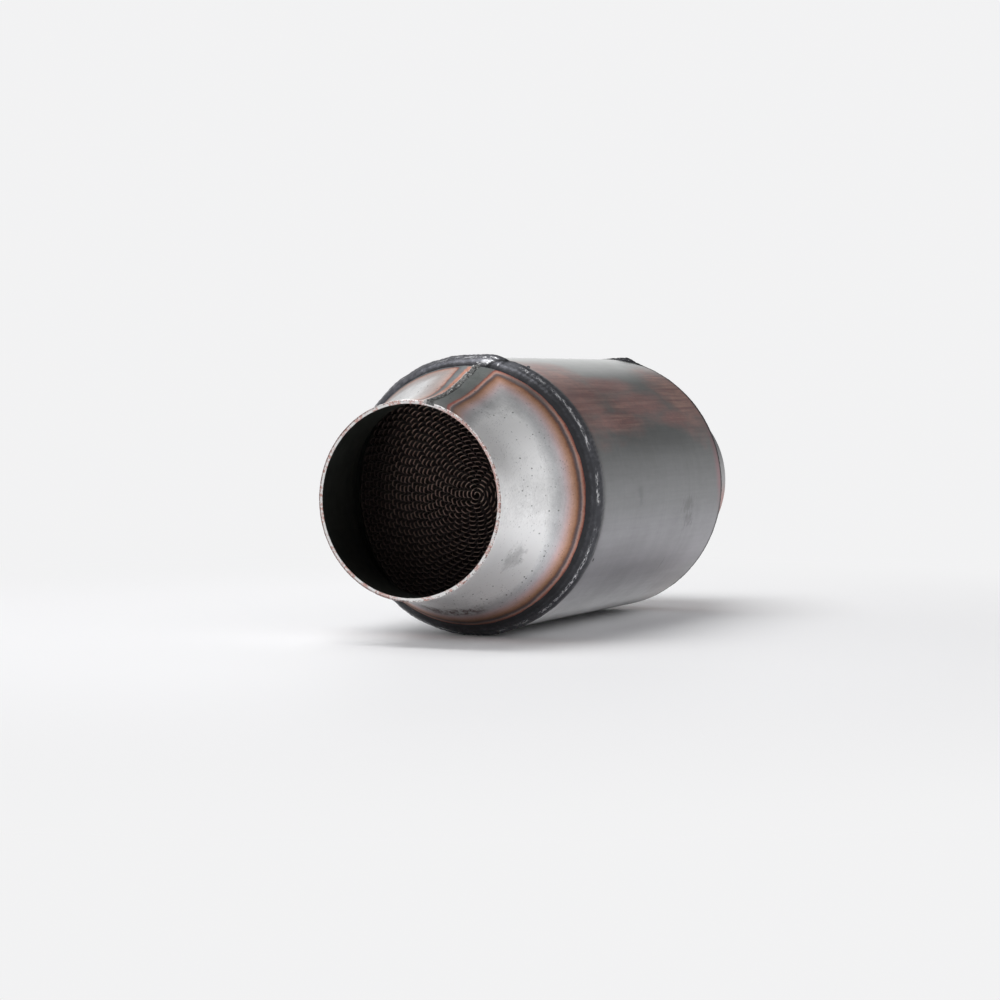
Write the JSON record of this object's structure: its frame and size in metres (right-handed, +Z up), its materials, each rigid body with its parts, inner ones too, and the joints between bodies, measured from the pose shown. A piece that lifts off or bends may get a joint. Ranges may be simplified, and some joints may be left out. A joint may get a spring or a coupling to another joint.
{
  "type": "catalytic converter",
  "caption": "Straight-through catalytic converter: tube casing, flared cones with slip-in necks, wound metal-foil honeycomb.",
  "frame": {"origin": "centre of the inlet mouth, on the axis of the pipe", "axes": "+X along the gas flow, from the inlet mouth to the outlet mouth; +Z up, with the cones' seams near the top"},
  "size_m": [0.2595, 0.1166, 0.1166],
  "materials": {
    "casing_steel": "satin, with brown heat tint",
    "cone_steel": "satin, heat tinted beside the welds",
    "weld_bead": "rough, oxidised",
    "mantle_steel": "dull, oxidised",
    "honeycomb_foil": "dull, coated"
  },
  "bodies": {
    "root": {"casing": "casing_steel", "inlet_cone": "cone_steel", "inlet_seam_weld": "weld_bead", "inlet_ring_weld": "weld_bead", "outlet_cone": "cone_steel", "outlet_seam_weld": "weld_bead", "outlet_ring_weld": "weld_bead", "mantle": "mantle_steel", "flat_foil": "honeycomb_foil", "corrugated_foil": "honeycomb_foil"}
  },
  "joints": []
}
